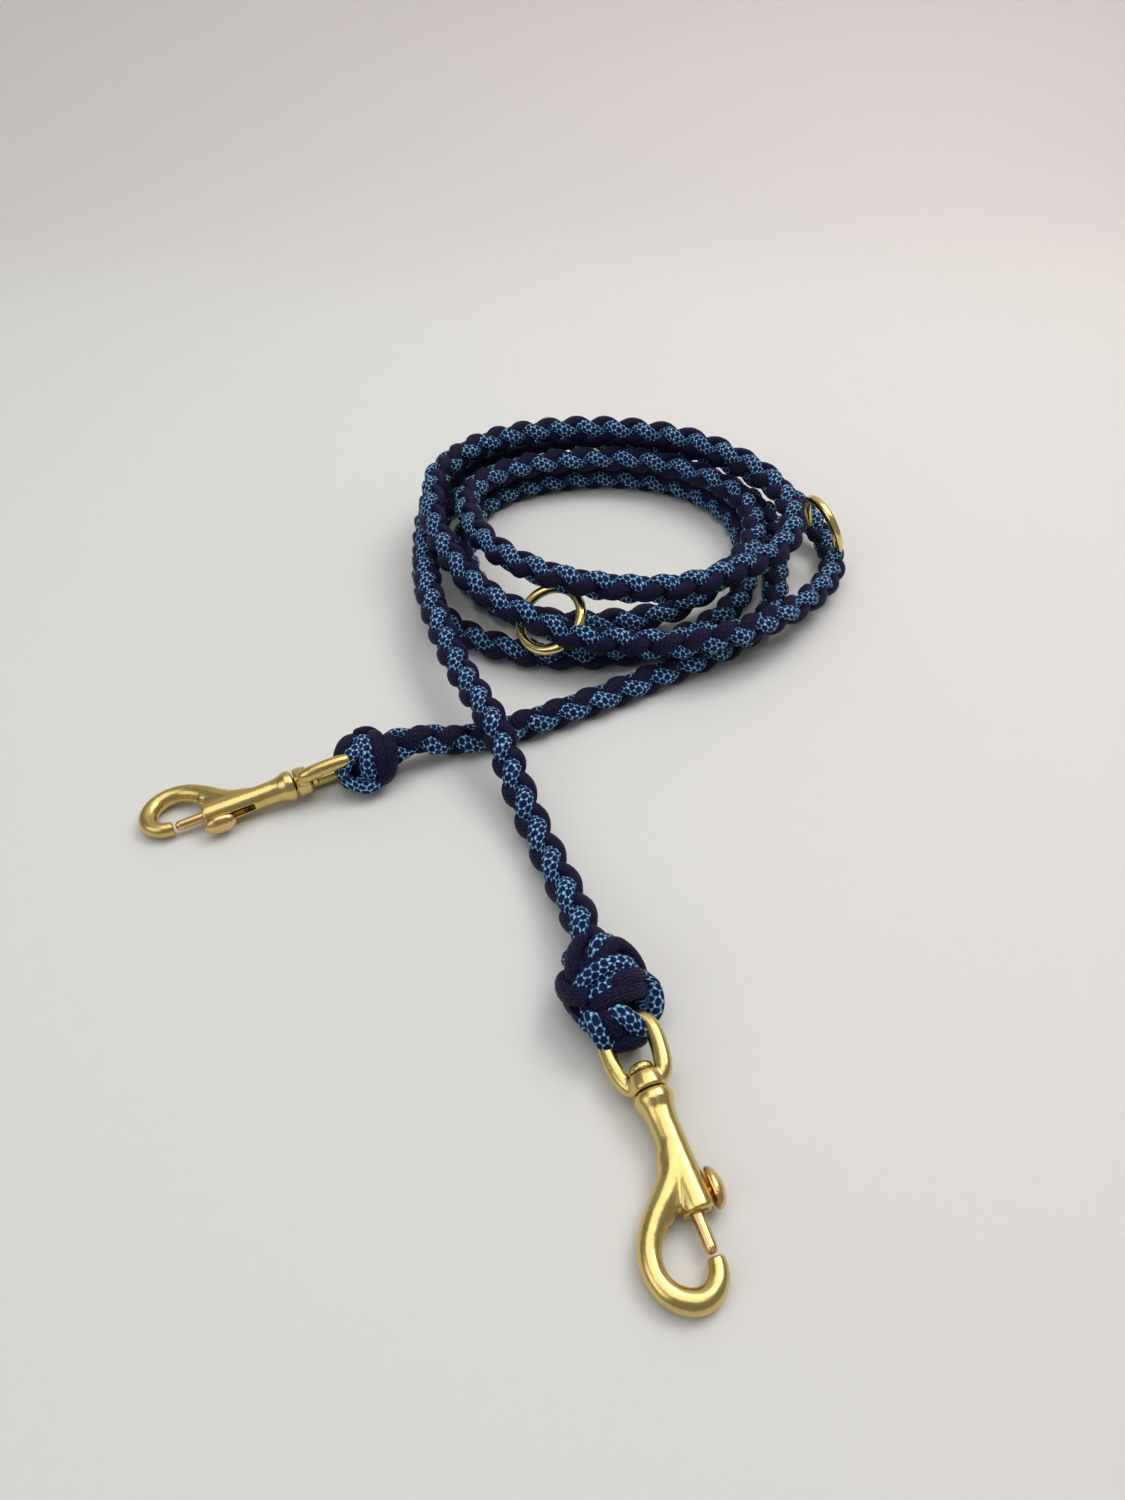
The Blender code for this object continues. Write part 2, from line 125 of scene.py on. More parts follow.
# ---------------------------------------------------------------- node helpers
class Nodes:
    """Short calls for building a material's node tree."""

    def __init__(self, name):
        self.mat = bpy.data.materials.new(name)
        self.mat.use_nodes = True
        self.tree = self.mat.node_tree
        self.shader = self.tree.nodes["Principled BSDF"]

    def new(self, kind, **props):
        node = self.tree.nodes.new(kind)
        for key, value in props.items():
            setattr(node, key, value)
        return node

    def link(self, a, b):
        self.tree.links.new(a, b)

    def put(self, socket, value):
        if isinstance(value, bpy.types.NodeSocket):
            self.link(value, socket)
        else:
            socket.default_value = value

    def math(self, op, a, b=0.0):
        node = self.new("ShaderNodeMath", operation=op)
        self.put(node.inputs[0], a)
        self.put(node.inputs[1], b)
        return node.outputs[0]

    def mix(self, factor, a, b):
        """Colour between a and b, which are inputs 6 and 7 of a Mix node."""
        node = self.new("ShaderNodeMix", data_type="RGBA")
        self.put(node.inputs[0], factor)
        for socket, colour in zip(node.inputs[6:8], (a, b)):
            self.put(socket, colour if isinstance(colour, bpy.types.NodeSocket) else (*colour, 1.0))
        return node.outputs[2]

    def ramp(self, value, low, high):
        """Smooth step from 0 at low to 1 at high."""
        node = self.new("ShaderNodeMapRange", interpolation_type="SMOOTHSTEP")
        for socket, v in zip(node.inputs, (value, low, high, 0.0, 1.0)):
            self.put(socket, v)
        return node.outputs[0]

    def noise(self, vector, scale, detail=2.0, rough=0.5):
        node = self.new("ShaderNodeTexNoise")
        self.put(node.inputs["Vector"], vector)
        node.inputs["Scale"].default_value = scale
        node.inputs["Detail"].default_value = detail
        node.inputs["Roughness"].default_value = rough
        return node.outputs["Fac"]

    def coords(self):
        return self.new("ShaderNodeTexCoord").outputs["Object"]

    def bump(self, height, strength, distance, normal=None):
        node = self.new("ShaderNodeBump")
        node.inputs["Strength"].default_value = strength
        node.inputs["Distance"].default_value = distance
        self.put(node.inputs["Height"], height)
        if normal is not None:
            self.link(normal, node.inputs["Normal"])
        return node.outputs[0]


TAU = 2 * math.pi
UV_PER_MM = 0.01         # scale of the length along a cord in its UV map
CELLS_ROUND = 8.0        # net cells round a cord
CELLS_PER_MM = 0.513     # net cells along it
RIBS_ROUND = 17          # sheath ribs round a cord
PICKS_PER_MM = 0.62      # slanted rows of stitches along it
PICK_LEAN = 1.6          # how many rows they slant by, times the share below
LEAN_SHARE = 0.9
BANDS_ROUND = 8.0        # half bands, each slanting the other way


def cord_material(name, patterned):
    """Woven nylon sheath, drawn on the length along the cord and the turns round it; the navy one
    has painted shade in its weave's grooves and painted highlight on its ribs.
    """
    n = Nodes(name)
    uv = n.new("ShaderNodeUVMap", uv_map="cord").outputs[0]
    split = n.new("ShaderNodeSeparateXYZ")
    n.link(uv, split.inputs[0])
    here = n.coords()
    wobble = n.math("SUBTRACT", n.noise(here, 900.0, 1.0), 0.5)
    wobble2 = n.math("SUBTRACT", n.noise(here, 700.0, 1.0), 0.5)
    along = n.math("MULTIPLY", split.outputs[0], 1 / UV_PER_MM)
    turn = split.outputs[1]
    bands = n.math("PINGPONG", n.math("MULTIPLY", turn, BANDS_ROUND), 1.0)
    lean = n.math("MULTIPLY", bands, LEAN_SHARE)
    picks = n.math("SINE", n.math("ADD", n.math("MULTIPLY", along, TAU * PICKS_PER_MM),
                                  n.math("MULTIPLY", lean, TAU * PICK_LEAN)))
    ribs = n.math("COSINE", n.math("MULTIPLY", turn, TAU * RIBS_ROUND))
    weave = n.math("ADD", n.math("MULTIPLY", picks, 0.45), n.math("MULTIPLY", ribs, 0.55))
    fuzz = n.noise(here, 3500.0, 3.0, 0.7)
    height = n.math("ADD", weave, n.math("MULTIPLY", fuzz, 0.7))
    if patterned:
        # three waves at 60 degrees make a net of six-sided cells, dark where they add up
        x = n.math("ADD", n.math("MULTIPLY", along, CELLS_PER_MM),
                   n.math("MULTIPLY", wobble, 0.50))
        y = n.math("ADD", n.math("MULTIPLY", turn, CELLS_ROUND), n.math("MULTIPLY", wobble2, 0.60))
        half = n.math("MULTIPLY", y, 0.5)
        waves = [n.math("COSINE", n.math("MULTIPLY", v, TAU)) for v in
                 (y, n.math("ADD", x, half), n.math("SUBTRACT", x, half))]
        cell = n.math("ADD", n.math("ADD", waves[0], waves[1]), waves[2])
        stitch = n.math("MULTIPLY", n.math("ADD", weave, fuzz), 0.16)
        cell = n.math("ADD", cell, stitch)
        net = n.ramp(cell, -0.62, -0.98)
        knots = n.ramp(cell, -1.0, -1.4)
        tone = n.math("MULTIPLY", n.noise(here, 260.0, 2.0), 0.6)
        dark = n.mix(tone, (0.001, 0.006, 0.042), (0.002, 0.021, 0.105))
        light = n.mix(knots, (0.10, 0.33, 0.58), (0.46, 0.70, 0.84))
        colour = n.mix(net, dark, light)
        n.shader.inputs["Roughness"].default_value = 0.62
    else:
        # painted shade and painted highlight: the low colour darkens the weave's grooves and the
        # high colour lights its ribs
        groove_shade_rib_highlight = n.ramp(weave, -0.7, 0.8)
        cast = n.noise(here, 120.0, 2.0)
        low = n.mix(cast, (0.0010, 0.0012, 0.0070), (0.0016, 0.0014, 0.010))
        high = n.mix(cast, (0.0085, 0.0080, 0.046), (0.014, 0.011, 0.058))
        colour = n.mix(groove_shade_rib_highlight, low, high)
        n.shader.inputs["Roughness"].default_value = 0.55
    n.link(colour, n.shader.inputs["Base Color"])
    n.shader.inputs["Sheen Weight"].default_value = 0.05
    n.shader.inputs["Sheen Roughness"].default_value = 0.4
    n.shader.inputs["Sheen Tint"].default_value = (0.16, 0.22, 0.75, 1.0)
    n.shader.inputs["Specular IOR Level"].default_value = 0.16
    n.link(n.bump(height, 0.75, 0.00022), n.shader.inputs["Normal"])
    return n.mat


def metal_material(name, bright, dull, rough, scratch=1.0):
    """Tumbled cast metal: soft unevenness, fine brush marks and a little tarnish."""
    n = Nodes(name)
    here = n.coords()
    soft = n.noise(here, 220.0, 2.0)
    fine = n.noise(here, 2600.0, 3.0, 0.65)
    stretch = n.new("ShaderNodeMapping")
    stretch.inputs["Scale"].default_value = (1.0, 0.18, 1.0)
    stretch.inputs["Rotation"].default_value = (0.0, 0.0, 0.5)
    n.link(here, stretch.inputs[0])
    brush = n.noise(stretch.outputs[0], 4200.0, 2.0, 0.6)
    stain = n.ramp(n.noise(here, 90.0, 3.0), 0.45, 0.75)
    n.link(n.mix(n.math("MULTIPLY", stain, 0.5), bright, dull), n.shader.inputs["Base Color"])
    n.shader.inputs["Metallic"].default_value = 1.0
    spread = n.math("ADD", n.math("MULTIPLY", fine, 0.10), n.math("MULTIPLY", stain, 0.06))
    n.link(n.math("ADD", spread, rough - 0.06), n.shader.inputs["Roughness"])
    base = n.bump(soft, 0.35, 0.00035)
    base = n.bump(brush, 0.30 * scratch, 0.00006, base)
    n.link(n.bump(fine, 0.25 * scratch, 0.00004, base), n.shader.inputs["Normal"])
    return n.mat


NAVY = cord_material("navy_sheath", False)
PATTERN = cord_material("patterned_sheath", True)
BRASS = metal_material("brass", (0.70, 0.545, 0.20), (0.50, 0.36, 0.11), 0.25)
BRASS_RING = metal_material("ring_brass", (0.82, 0.65, 0.25), (0.64, 0.46, 0.14), 0.17, 0.5)
BRONZE = metal_material("bronze", (0.76, 0.53, 0.23), (0.54, 0.34, 0.13), 0.25)
STEEL = metal_material("spring_steel", (0.60, 0.60, 0.60), (0.35, 0.35, 0.36), 0.30)


# ---------------------------------------------------------------- mesh helpers
def unit(v):
    """Vectors made one long."""
    return v / np.maximum(np.linalg.norm(v, axis=-1, keepdims=True), 1e-12)


def mesh_object(name, verts, faces, mat, uvs=None):
    """A smooth shaded object from points in millimetres."""
    mesh = bpy.data.meshes.new(name)
    mesh.from_pydata((np.asarray(verts) * MM).tolist(), [], faces)
    mesh.polygons.foreach_set("use_smooth", [True] * len(mesh.polygons))
    if uvs is not None:
        layer = mesh.uv_layers.new(name="cord")
        layer.data.foreach_set("uv", np.asarray(uvs, dtype=np.float32).ravel())
    mesh.materials.append(mat)
    mesh.update()
    obj = bpy.data.objects.new(name, mesh)
    bpy.context.scene.collection.objects.link(obj)
    return obj


def skin_data(rings, run, closed=False):
    """Faces and UVs of a tube through rings (n, k, 3); run is millimetres along it."""
    n, k = rings.shape[:2]
    faces, uvs = [], []
    for i in range(n if closed else n - 1):
        j = (i + 1) % n
        r0 = run[i] * UV_PER_MM
        r1 = (run[i + 1] if i + 1 < len(run) else run[i] + (run[1] - run[0])) * UV_PER_MM
        for a in range(k):
            b = (a + 1) % k
            faces.append((i * k + a, i * k + b, j * k + b, j * k + a))
            uvs += [(r0, a / k), (r0, (a + 1) / k), (r1, (a + 1) / k), (r1, a / k)]
    if not closed:
        faces.append(tuple(range(k))[::-1])
        uvs += [(run[0] * UV_PER_MM, a / k) for a in range(k)][::-1]
        faces.append(tuple((n - 1) * k + a for a in range(k)))
        uvs += [(run[-1] * UV_PER_MM, a / k) for a in range(k)]
    return faces, uvs


def sections(path, normal, high, wide, sides, power=2.2):
    """Rings of superellipses round a path; normal is the direction that high follows."""
    path = np.asarray(path, float)
    t = unit(np.gradient(path, axis=0))
    n = unit(normal - t * np.sum(normal * t, axis=1, keepdims=True))
    b = np.cross(t, n)
    ang = 2 * np.pi * np.arange(sides) / sides
    c, s = np.cos(ang), np.sin(ang)
    c = np.sign(c) * np.abs(c) ** (2 / power)
    s = np.sign(s) * np.abs(s) ** (2 / power)
    high = np.broadcast_to(high, len(path))[:, None, None]
    wide = np.broadcast_to(wide, len(path))[:, None, None]
    return (path[:, None, :] + high * c[None, :, None] * n[:, None, :]
            + wide * s[None, :, None] * b[:, None, :])


def length_along(path):
    """Distance from the start at each point of a path."""
    return np.concatenate([[0.0], np.cumsum(np.linalg.norm(np.diff(path, axis=0), axis=1))])


def spline(points, samples=40):
    """Natural cubic through the points with root-chord spacing, densely sampled."""
    p = np.asarray(points, float)
    t = np.concatenate([[0], np.cumsum(np.sqrt(np.linalg.norm(np.diff(p, axis=0), axis=1)))])
    h = np.diff(t)
    n = len(p)
    a = np.eye(n)
    r = np.zeros_like(p)
    for i in range(1, n - 1):
        a[i, i - 1:i + 2] = h[i - 1], 2 * (h[i - 1] + h[i]), h[i]
        r[i] = 6 * ((p[i + 1] - p[i]) / h[i] - (p[i] - p[i - 1]) / h[i - 1])
    m = np.linalg.solve(a, r)
    out = []
    for i in range(n - 1):
        v = np.linspace(0, h[i], samples, endpoint=False)[:, None]
        w = h[i] - v
        out.append(m[i] * w**3 / (6 * h[i]) + m[i + 1] * v**3 / (6 * h[i])
                   + (p[i] / h[i] - m[i] * h[i] / 6) * w
                   + (p[i + 1] / h[i] - m[i + 1] * h[i] / 6) * v)
    return np.vstack(out + [p[-1:]])


def evenly(path, step):
    """A path's points spaced evenly again, about step apart."""
    run = length_along(path)
    count = max(2, round(run[-1] / step))
    at = np.linspace(0, run[-1], count + 1)
    return np.stack([np.interp(at, run, path[:, k]) for k in range(path.shape[1])], axis=1)


# ---------------------------------------------------------------- frames
def snap_frame(spec):
    """A snap's collar in the row frame, and its S, Q and N directions as rows."""
    flat = unit(np.array([*spec["along"], 0.0]))
    s = unit(flat * math.cos(SNAP_TILT) - np.array([0, 0, 1.0]) * math.sin(SNAP_TILT))
    q = np.array([-flat[1], flat[0], 0.0])
    return np.array([*spec["collar"], COLLAR_Z]) + CENTRE, np.stack([s, q, np.cross(s, q)])


def rolled(points, degrees):
    """Turn S, Q, N points about the S axis."""
    p = np.asarray(points, float)
    c, s = math.cos(math.radians(degrees)), math.sin(math.radians(degrees))
    return np.stack([p[..., 0], p[..., 1] * c - p[..., 2] * s,
                     p[..., 1] * s + p[..., 2] * c], axis=-1)


def ring_frame(axis):
    """A ring's axis and two directions across it."""
    a = unit(np.array(axis, float))
    u = unit(np.cross(a, [0.0, 0.0, 1.0]))
    return a, u, np.cross(a, u)


RING_GAP = 0.08


def clear_of_rings(verts):
    """Push cord surface out of the rings' wire, so that the cord presses round it."""
    flat = verts.reshape(-1, 3)
    for centre, axis in RINGS.values():
        a, u, v = ring_frame(axis)
        d = flat - (np.array(centre) + CENTRE)
        plane = np.stack([d @ u, d @ v], axis=1)
        on = unit(plane) * RING_R
        near = np.array(centre) + CENTRE + on[:, :1] * u + on[:, 1:] * v
        off = flat - near
        dist = np.linalg.norm(off, axis=1)
        keep = RING_WIRE_R + RING_GAP
        inside = dist < keep
        flat[inside] = near[inside] + unit(off[inside]) * keep
    return flat.reshape(verts.shape)


# ---------------------------------------------------------------- the braid
# run along the rope (mm) against the roll of the patterned columns from straight up (degrees)
ROLL = [
    (0, -28), (30, -26), (55, -8), (80, -22), (110, -8), (155, 0), (190, -12), (470, -8),
    (490, -35), (515, -65), (535, -100), (557, -160), (570, -185), (590, -197), (645, -200),
    (680, -200), (718, -288), (790, -295), (825, -303), (850, -334), (875, -368), (925, -352),
    (985, -360), (1010, -368), (1040, -392), (1072, -438), (1092, -456), (1150, -466),
    (1190, -488), (1220, -525), (1252, -590), (1335, -604), (1435, -640), (1560, -620),
    (1700, -570), (1760, -575), (2080, -602), (2180, -618), (2205, -636), (2222, -660),
]
# run along the rope against the extra turn of the strands (degrees), to seat the crossings
PHASE = [
    (0, 40), (20, 32), (35, 8), (50, -10), (67, 0), (78, 56), (88, 95), (130, 108), (165, 125),
    (185, 180), (200, 230), (474, 142), (490, 87), (505, 32), (526, 48), (546, 95), (565, 124),
    (605, 146), (655, 155), (670, 134), (684, 98), (718, 104), (751, 124), (786, 115), (811, 87),
    (837, 40), (865, -38), (923, -46), (943, 0), (965, 17), (997, 56), (1009, 48), (1023, 9),
    (1054, -116), (1074, -200), (1094, -205), (1108, -241), (1144, -265), (1180, -288),
    (1208, -367), (1221, -388), (1242, -359), (1260, -345), (2222, -358),
]
OUT_R = 3.35             # a strand's middle from the rope's middle where it lies over
IN_R = 1.05              # and where it passes under
DWELL = 0.55             # how long a strand stays at the top of its bead
STEPS_PER_BEAD = 14
STRAND_SIDES = 12
STRANDS = [              # name, way round, start, where it lies over (radians)
    ("patterned_a", 1, 0.0, 0.0), ("patterned_b", 1, np.pi, 0.0),
    ("navy_a", -1, 0.0, np.pi / 2), ("navy_b", -1, np.pi, np.pi / 2),
]


def braid():
    """The rope's centre line and its four strands, by name."""
    line = spline(np.array(ROUTE) + CENTRE)
    line = evenly(line, PITCH / 2 / STEPS_PER_BEAD)
    step = np.linalg.norm(line[1] - line[0])
    extra = int(KNOT_OVERLAP / step)
    head = line[0] - (line[1] - line[0]) * np.arange(extra, 0, -1)[:, None]
    tail = line[-1] + (line[-1] - line[-2]) * np.arange(1, extra + 1)[:, None]
    line = np.vstack([head, line, tail])
    run = length_along(line)
    t = unit(np.gradient(line, axis=0))
    up = unit(np.array([0, 0, 1.0]) - t * t[:, 2:3])
    side = np.cross(t, up)
    roll = np.radians(np.interp(run, *zip(*ROLL)))
    turn = 2 * np.pi * run / PITCH + np.radians(np.interp(run, *zip(*PHASE)))
    strands = {}
    for name, way, start, over in STRANDS:
        raw = way * turn + start
        swing = 2 * (raw - over)
        angle = raw - DWELL / 2 * np.sin(swing) + roll
        outer = (0.5 + 0.5 * np.cos(swing)) ** 0.6
        radius = IN_R + (OUT_R - IN_R) * outer
        radial = up * np.cos(angle)[:, None] + side * np.sin(angle)[:, None]
        path = line + radial * radius[:, None]
        rings = sections(path, radial, 1.62 + 0.16 * outer, 2.25 + 0.42 * outer, STRAND_SIDES)
        rings = clear_of_rings(rings)
        faces, uvs = skin_data(rings, length_along(path))
        mat = PATTERN if name.startswith("patterned") else NAVY
        strands[name] = mesh_object("cord_" + name, rings.reshape(-1, 3), faces, mat, uvs)
    return line, strands


centre_line, strands = braid()


# ---------------------------------------------------------------- knots
# Stations of each cord in S, Q, N from the knot's middle. The cords are made twice, the second
# time turned half a turn for the far side. The loops tie the eye's bow and are made once.
# squeeze scales the cords' stations, size is the egg that their flat sides follow, and core is the
# egg that fills the knot: its first S, its last S and its half depth.
KNOTS = {
    "front": dict(middle=(-27.5, -0.8), squeeze=(1.0, 1.0, 1.0), size=(13.5, 8.6, 7.6),
                  core=(-12.5, 8.0, 5.9), cords=[
        ("patterned", [(-9.0, 4.6, -2.0), (-10.8, 5.6, 0.8), (-10.2, 3.2, 4.2), (-8.4, 1.0, 5.8),
                       (-6.2, 0.0, 5.0), (-4.4, -0.2, 3.0)]),
        ("navy", [(-3.0, -2.4, 3.6), (-6.0, 1.8, 6.0), (-7.8, 5.4, 5.2), (-6.2, 8.4, 2.6),
                  (-3.0, 9.8, 0.0), (1.0, 9.2, -3.4), (4.0, 6.0, -6.0)]),
        ("navy", [(-13.0, -1.0, 3.0), (-10.6, -4.0, 3.2), (-7.2, -6.0, 2.6), (-3.6, -7.1, 1.2),
                  (0.6, -7.3, -0.6), (4.4, -5.8, -3.0)]),
        ("patterned", [(1.4, -7.4, -1.6), (0.2, -6.8, 2.8), (-0.8, -4.8, 5.8), (-1.6, -1.0, 7.4),
                       (-1.9, 3.0, 7.0), (-1.8, 6.4, 4.6), (-1.0, 8.2, 0.6)]),
        ("patterned", [(0.8, 4.6, 4.0), (1.6, 3.0, 5.8), (2.5, 0.2, 6.3), (3.4, -2.8, 5.8),
                       (4.5, -5.2, 4.1), (5.8, -6.8, 1.4), (6.4, -7.0, -2.2)]),
        ("navy", [(3.6, -0.6, 5.6), (2.8, 2.6, 6.9), (1.8, 6.0, 5.4), (0.8, 8.6, 2.2),
                  (0.8, 9.2, -1.8), (2.0, 8.0, -5.0)]),
        ("navy", [(6.6, -6.6, 0.8), (6.0, -4.6, 4.6), (5.9, -1.4, 6.4), (5.6, 2.2, 6.4),
                  (4.8, 5.6, 4.8), (3.8, 8.0, 1.4), (3.6, 8.6, -2.4)]),
    ], loops=[
        ("patterned", [(-0.4, 9.0, 0.8), (1.8, 10.2, 1.4), (4.6, 10.8, 0.2), (7.4, 10.2, -2.0),
                       (8.6, 7.8, -4.6)]),
        ("navy", [(5.4, -3.2, 3.4), (8.0, -3.2, 4.3), (10.8, -2.2, 3.7), (12.9, -0.8, 0.6),
                  (12.6, 0.0, -3.0), (9.6, 0.4, -5.2), (6.2, 0.2, -5.6)]),
        ("patterned", [(6.0, -5.0, 2.0), (8.2, -6.0, 3.6), (11.0, -5.9, 2.6), (13.2, -4.6, -0.2),
                       (13.2, -3.6, -3.8), (10.2, -3.0, -6.2), (6.4, -2.6, -6.0)]),
        ("patterned", [(7.0, -1.6, 3.4), (9.0, -0.6, 5.2), (11.4, 1.4, 4.6), (13.2, 3.4, 2.2),
                       (13.6, 4.2, -1.2), (11.4, 4.0, -4.6), (7.6, 3.0, -5.8)]),
        ("navy", [(8.8, -1.6, -4.8), (12.4, -2.6, -3.2), (14.6, -1.2, -0.6), (15.0, 1.2, 0.4),
                  (14.2, 3.2, -1.6), (11.6, 2.2, -4.6), (8.0, 0.6, -5.6)]),
    ]),
    "left": dict(middle=(-23.5, 0.6), squeeze=(0.92, 0.88, 0.86), size=(9.5, 7.6, 7.0),
                 core=(-8.6, 7.2, 5.2), cords=[
        ("patterned", [(4.4, -6.0, 0.6), (2.4, -4.2, 4.8), (0.6, -1.2, 6.8), (0.6, 2.0, 6.7),
                       (1.6, 4.8, 4.8), (2.6, 6.6, 1.4), (1.8, 7.0, -2.0)]),
        ("navy", [(-1.6, -7.2, 0.0), (-3.2, -4.6, 4.6), (-3.4, -0.8, 6.8), (-2.9, 2.8, 6.6),
                  (-2.6, 5.8, 4.6), (-2.2, 7.8, 1.2), (-1.6, 8.0, -2.4)]),
        ("navy", [(-8.4, -3.6, 1.0), (-7.4, -0.4, 4.2), (-6.4, 3.0, 5.0), (-5.4, 6.0, 3.2),
                  (-4.2, 8.2, 0.0), (-2.0, 8.8, -3.2), (1.4, 7.6, -5.0)]),
    ], loops=[
        ("navy", [(1.6, -6.0, 2.6), (4.4, -4.6, 4.6), (7.0, -2.4, 4.8), (9.2, -0.6, 2.6),
                  (9.8, 0.4, -0.8), (7.6, 0.6, -4.4), (4.0, 0.2, -5.8)]),
        ("patterned", [(2.0, 5.2, -4.8), (5.4, 4.4, -4.2), (8.6, 3.0, -2.8), (9.8, 2.6, 0.0),
                       (8.8, 3.0, 2.0), (6.0, 1.6, 4.6), (2.6, 0.6, 5.2)]),
        ("patterned", [(1.0, 7.4, -4.2), (4.2, 8.0, -3.6), (7.2, 6.4, -2.8), (9.2, 4.6, -2.4),
                       (9.0, 2.2, -4.2), (5.6, 0.8, -5.8)]),
    ]),
}
CORD_HALF = (1.72, 2.28)     # half thickness outward and half width
CORD_SIDES = 14
CORD_STEP = 0.55


def cord_piece(name, runs, mat):
    """One object of several cords; each run is (path, outward directions)."""
    verts, faces, uvs, base = [], [], [], 0
    for path, out in runs:
        rings = sections(path, out, *CORD_HALF, CORD_SIDES)
        f, u = skin_data(rings, length_along(path))
        verts.append(rings.reshape(-1, 3))
        faces += [tuple(i + base for i in face) for face in f]
        uvs += u
        base += rings.shape[0] * rings.shape[1]
    return mesh_object(name, np.vstack(verts), faces, mat, uvs)


def tie_knot(name, spec, knot):
    """A knot's pieces: the cords and the loops of each colour, and the core."""
    origin, axes = snap_frame(spec)
    s_mid, q_mid = knot["middle"]
    size = np.array(knot["size"])

    def placed(points):
        return origin + (np.asarray(points) + [s_mid, q_mid, 0.0]) @ axes

    def run(stations, flip):
        p = np.array(stations, float) * knot["squeeze"]
        if flip:
            p = p * [1.0, -1.0, -1.0]
        path = evenly(spline(p, 12), CORD_STEP)
        out = unit(path / size**2)
        return placed(path), out @ axes

    pieces = {}
    for tone, mat in (("patterned", PATTERN), ("navy", NAVY)):
        runs = [run(st, flip) for flip in (False, True) for kind, st in knot["cords"]
                if kind == tone]
        pieces[tone] = cord_piece(f"{name}_knot_{tone}", runs, mat)
        loops = []
        for kind, st in knot["loops"]:
            if kind != tone:
                continue
            path = evenly(spline(np.array(st, float), 12), CORD_STEP)
            bow = np.array([BOW_S - s_mid, 0.0, 0.0])
            out = unit((path - bow) * [1.0, 0.0, 1.0] + 1e-6)
            loops.append((placed(path), out @ axes))
        pieces[tone + "_loop"] = cord_piece(f"{name}_loop_{tone}", loops, mat)
    lo, hi, deep = knot["core"]
    at = np.linspace(lo, hi, 22)
    bulge = np.sqrt(np.clip(1 - ((at - (lo + hi) / 2) / ((hi - lo) / 2 + 0.4)) ** 2, 0, 1))
    core_path = placed(np.stack([at, 0 * at, 0 * at], axis=1))
    rings = sections(core_path, np.broadcast_to(axes[2], core_path.shape),
                     0.4 + (deep - 0.4) * bulge, 0.4 + (deep + 0.8) * bulge, 24, 2.0)
    faces, uvs = skin_data(rings, length_along(core_path))
    pieces["core"] = mesh_object(f"{name}_knot_core", rings.reshape(-1, 3), faces, NAVY, uvs)
    return pieces


knots = {name: tie_knot(name, SNAPS[name], KNOTS[name]) for name in SNAPS}


# ---------------------------------------------------------------- cast metal
ROD_STEP = 0.5


def rod(points, radii, sides=28, curve=True):
    """Closed round bar through points with a radius at each, all in the plane of S and Q."""
    rows = np.hstack([np.asarray(points, float), np.asarray(radii, float)[:, None]])
    rows = evenly(spline(rows, 16), ROD_STEP) if curve else rows
    path, radius = rows[:, :3], rows[:, 3]
    rings = sections(path, np.broadcast_to([0.0, 0.0, 1.0], path.shape), radius, radius, sides, 2.0)
    faces, _ = skin_data(rings, length_along(path))
    return rings.reshape(-1, 3), faces


def flat_rod(rows):
    """A rod from (S, Q, radius) rows."""
    return rod([(s, q, 0.0) for s, q, _ in rows], [r for *_, r in rows])


def turned(profile, sides=40, q=0.0):
    """Solid of revolution about S from (S, radius) pairs."""
    return rod([(s, q, 0.0) for s, _ in profile], [r for _, r in profile], sides, curve=False)


def block(lo, hi):
    """A box between two corners."""
    corners = [(x, y, z) for x in (lo[0], hi[0]) for y in (lo[1], hi[1]) for z in (lo[2], hi[2])]
    return np.array(corners), [(0, 1, 3, 2), (4, 6, 7, 5), (0, 4, 5, 1), (2, 3, 7, 6),
                               (0, 2, 6, 4), (1, 5, 7, 3)]


def loose(name, shells):
    """One working object, in millimetres, of several closed shells."""
    bm = bmesh.new()
    for verts, faces in shells:
        made = [bm.verts.new(v) for v in verts]
        for face in faces:
            bm.faces.new([made[i] for i in face])
    bmesh.ops.remove_doubles(bm, verts=bm.verts, dist=1e-5)
    bmesh.ops.recalc_face_normals(bm, faces=bm.faces)
    mesh = bpy.data.meshes.new(name)
    bm.to_mesh(mesh)
    bm.free()
    obj = bpy.data.objects.new(name, mesh)
    bpy.context.scene.collection.objects.link(obj)
    return obj


def settle(obj):
    """Apply an object's modifiers."""
    deps = bpy.context.evaluated_depsgraph_get()
    mesh = bpy.data.meshes.new_from_object(obj.evaluated_get(deps))
    obj.modifiers.clear()
    obj.data = mesh


def remesh(obj, voxel, soften):
    """Melt an object's shells together and ease the surface."""
    mod = obj.modifiers.new("remesh", "REMESH")
    mod.mode = "VOXEL"
    mod.voxel_size = voxel
    ease = obj.modifiers.new("ease", "SMOOTH")
    ease.factor = 0.5
    ease.iterations = soften
    settle(obj)


EDGE_SOFTEN = 2


def cast(name, shells, cuts, mat, origin, axes, voxel=0.30, soften=7):
    """Melt overlapping shells into one casting, cut it, and round its edges."""
    obj = loose(name, shells)
    remesh(obj, voxel, soften)
    for k, cut in enumerate(cuts):
        tool = loose(f"{name}_cut_{k}", [cut])
        mod = obj.modifiers.new("cut", "BOOLEAN")
        mod.operation = "DIFFERENCE"
        mod.solver = "EXACT"
        mod.object = tool
        settle(obj)
        bpy.data.objects.remove(tool, do_unlink=True)
    if cuts:
        remesh(obj, voxel * 0.8, EDGE_SOFTEN)
    mesh = obj.data
    co = np.empty(len(mesh.vertices) * 3)
    mesh.vertices.foreach_get("co", co)
    co = (origin + co.reshape(-1, 3) @ axes) * MM
    mesh.vertices.foreach_set("co", co.ravel())
    mesh.polygons.foreach_set("use_smooth", [True] * len(mesh.polygons))
    mesh.materials.clear()
    mesh.materials.append(mat)
    mesh.update()
    return obj


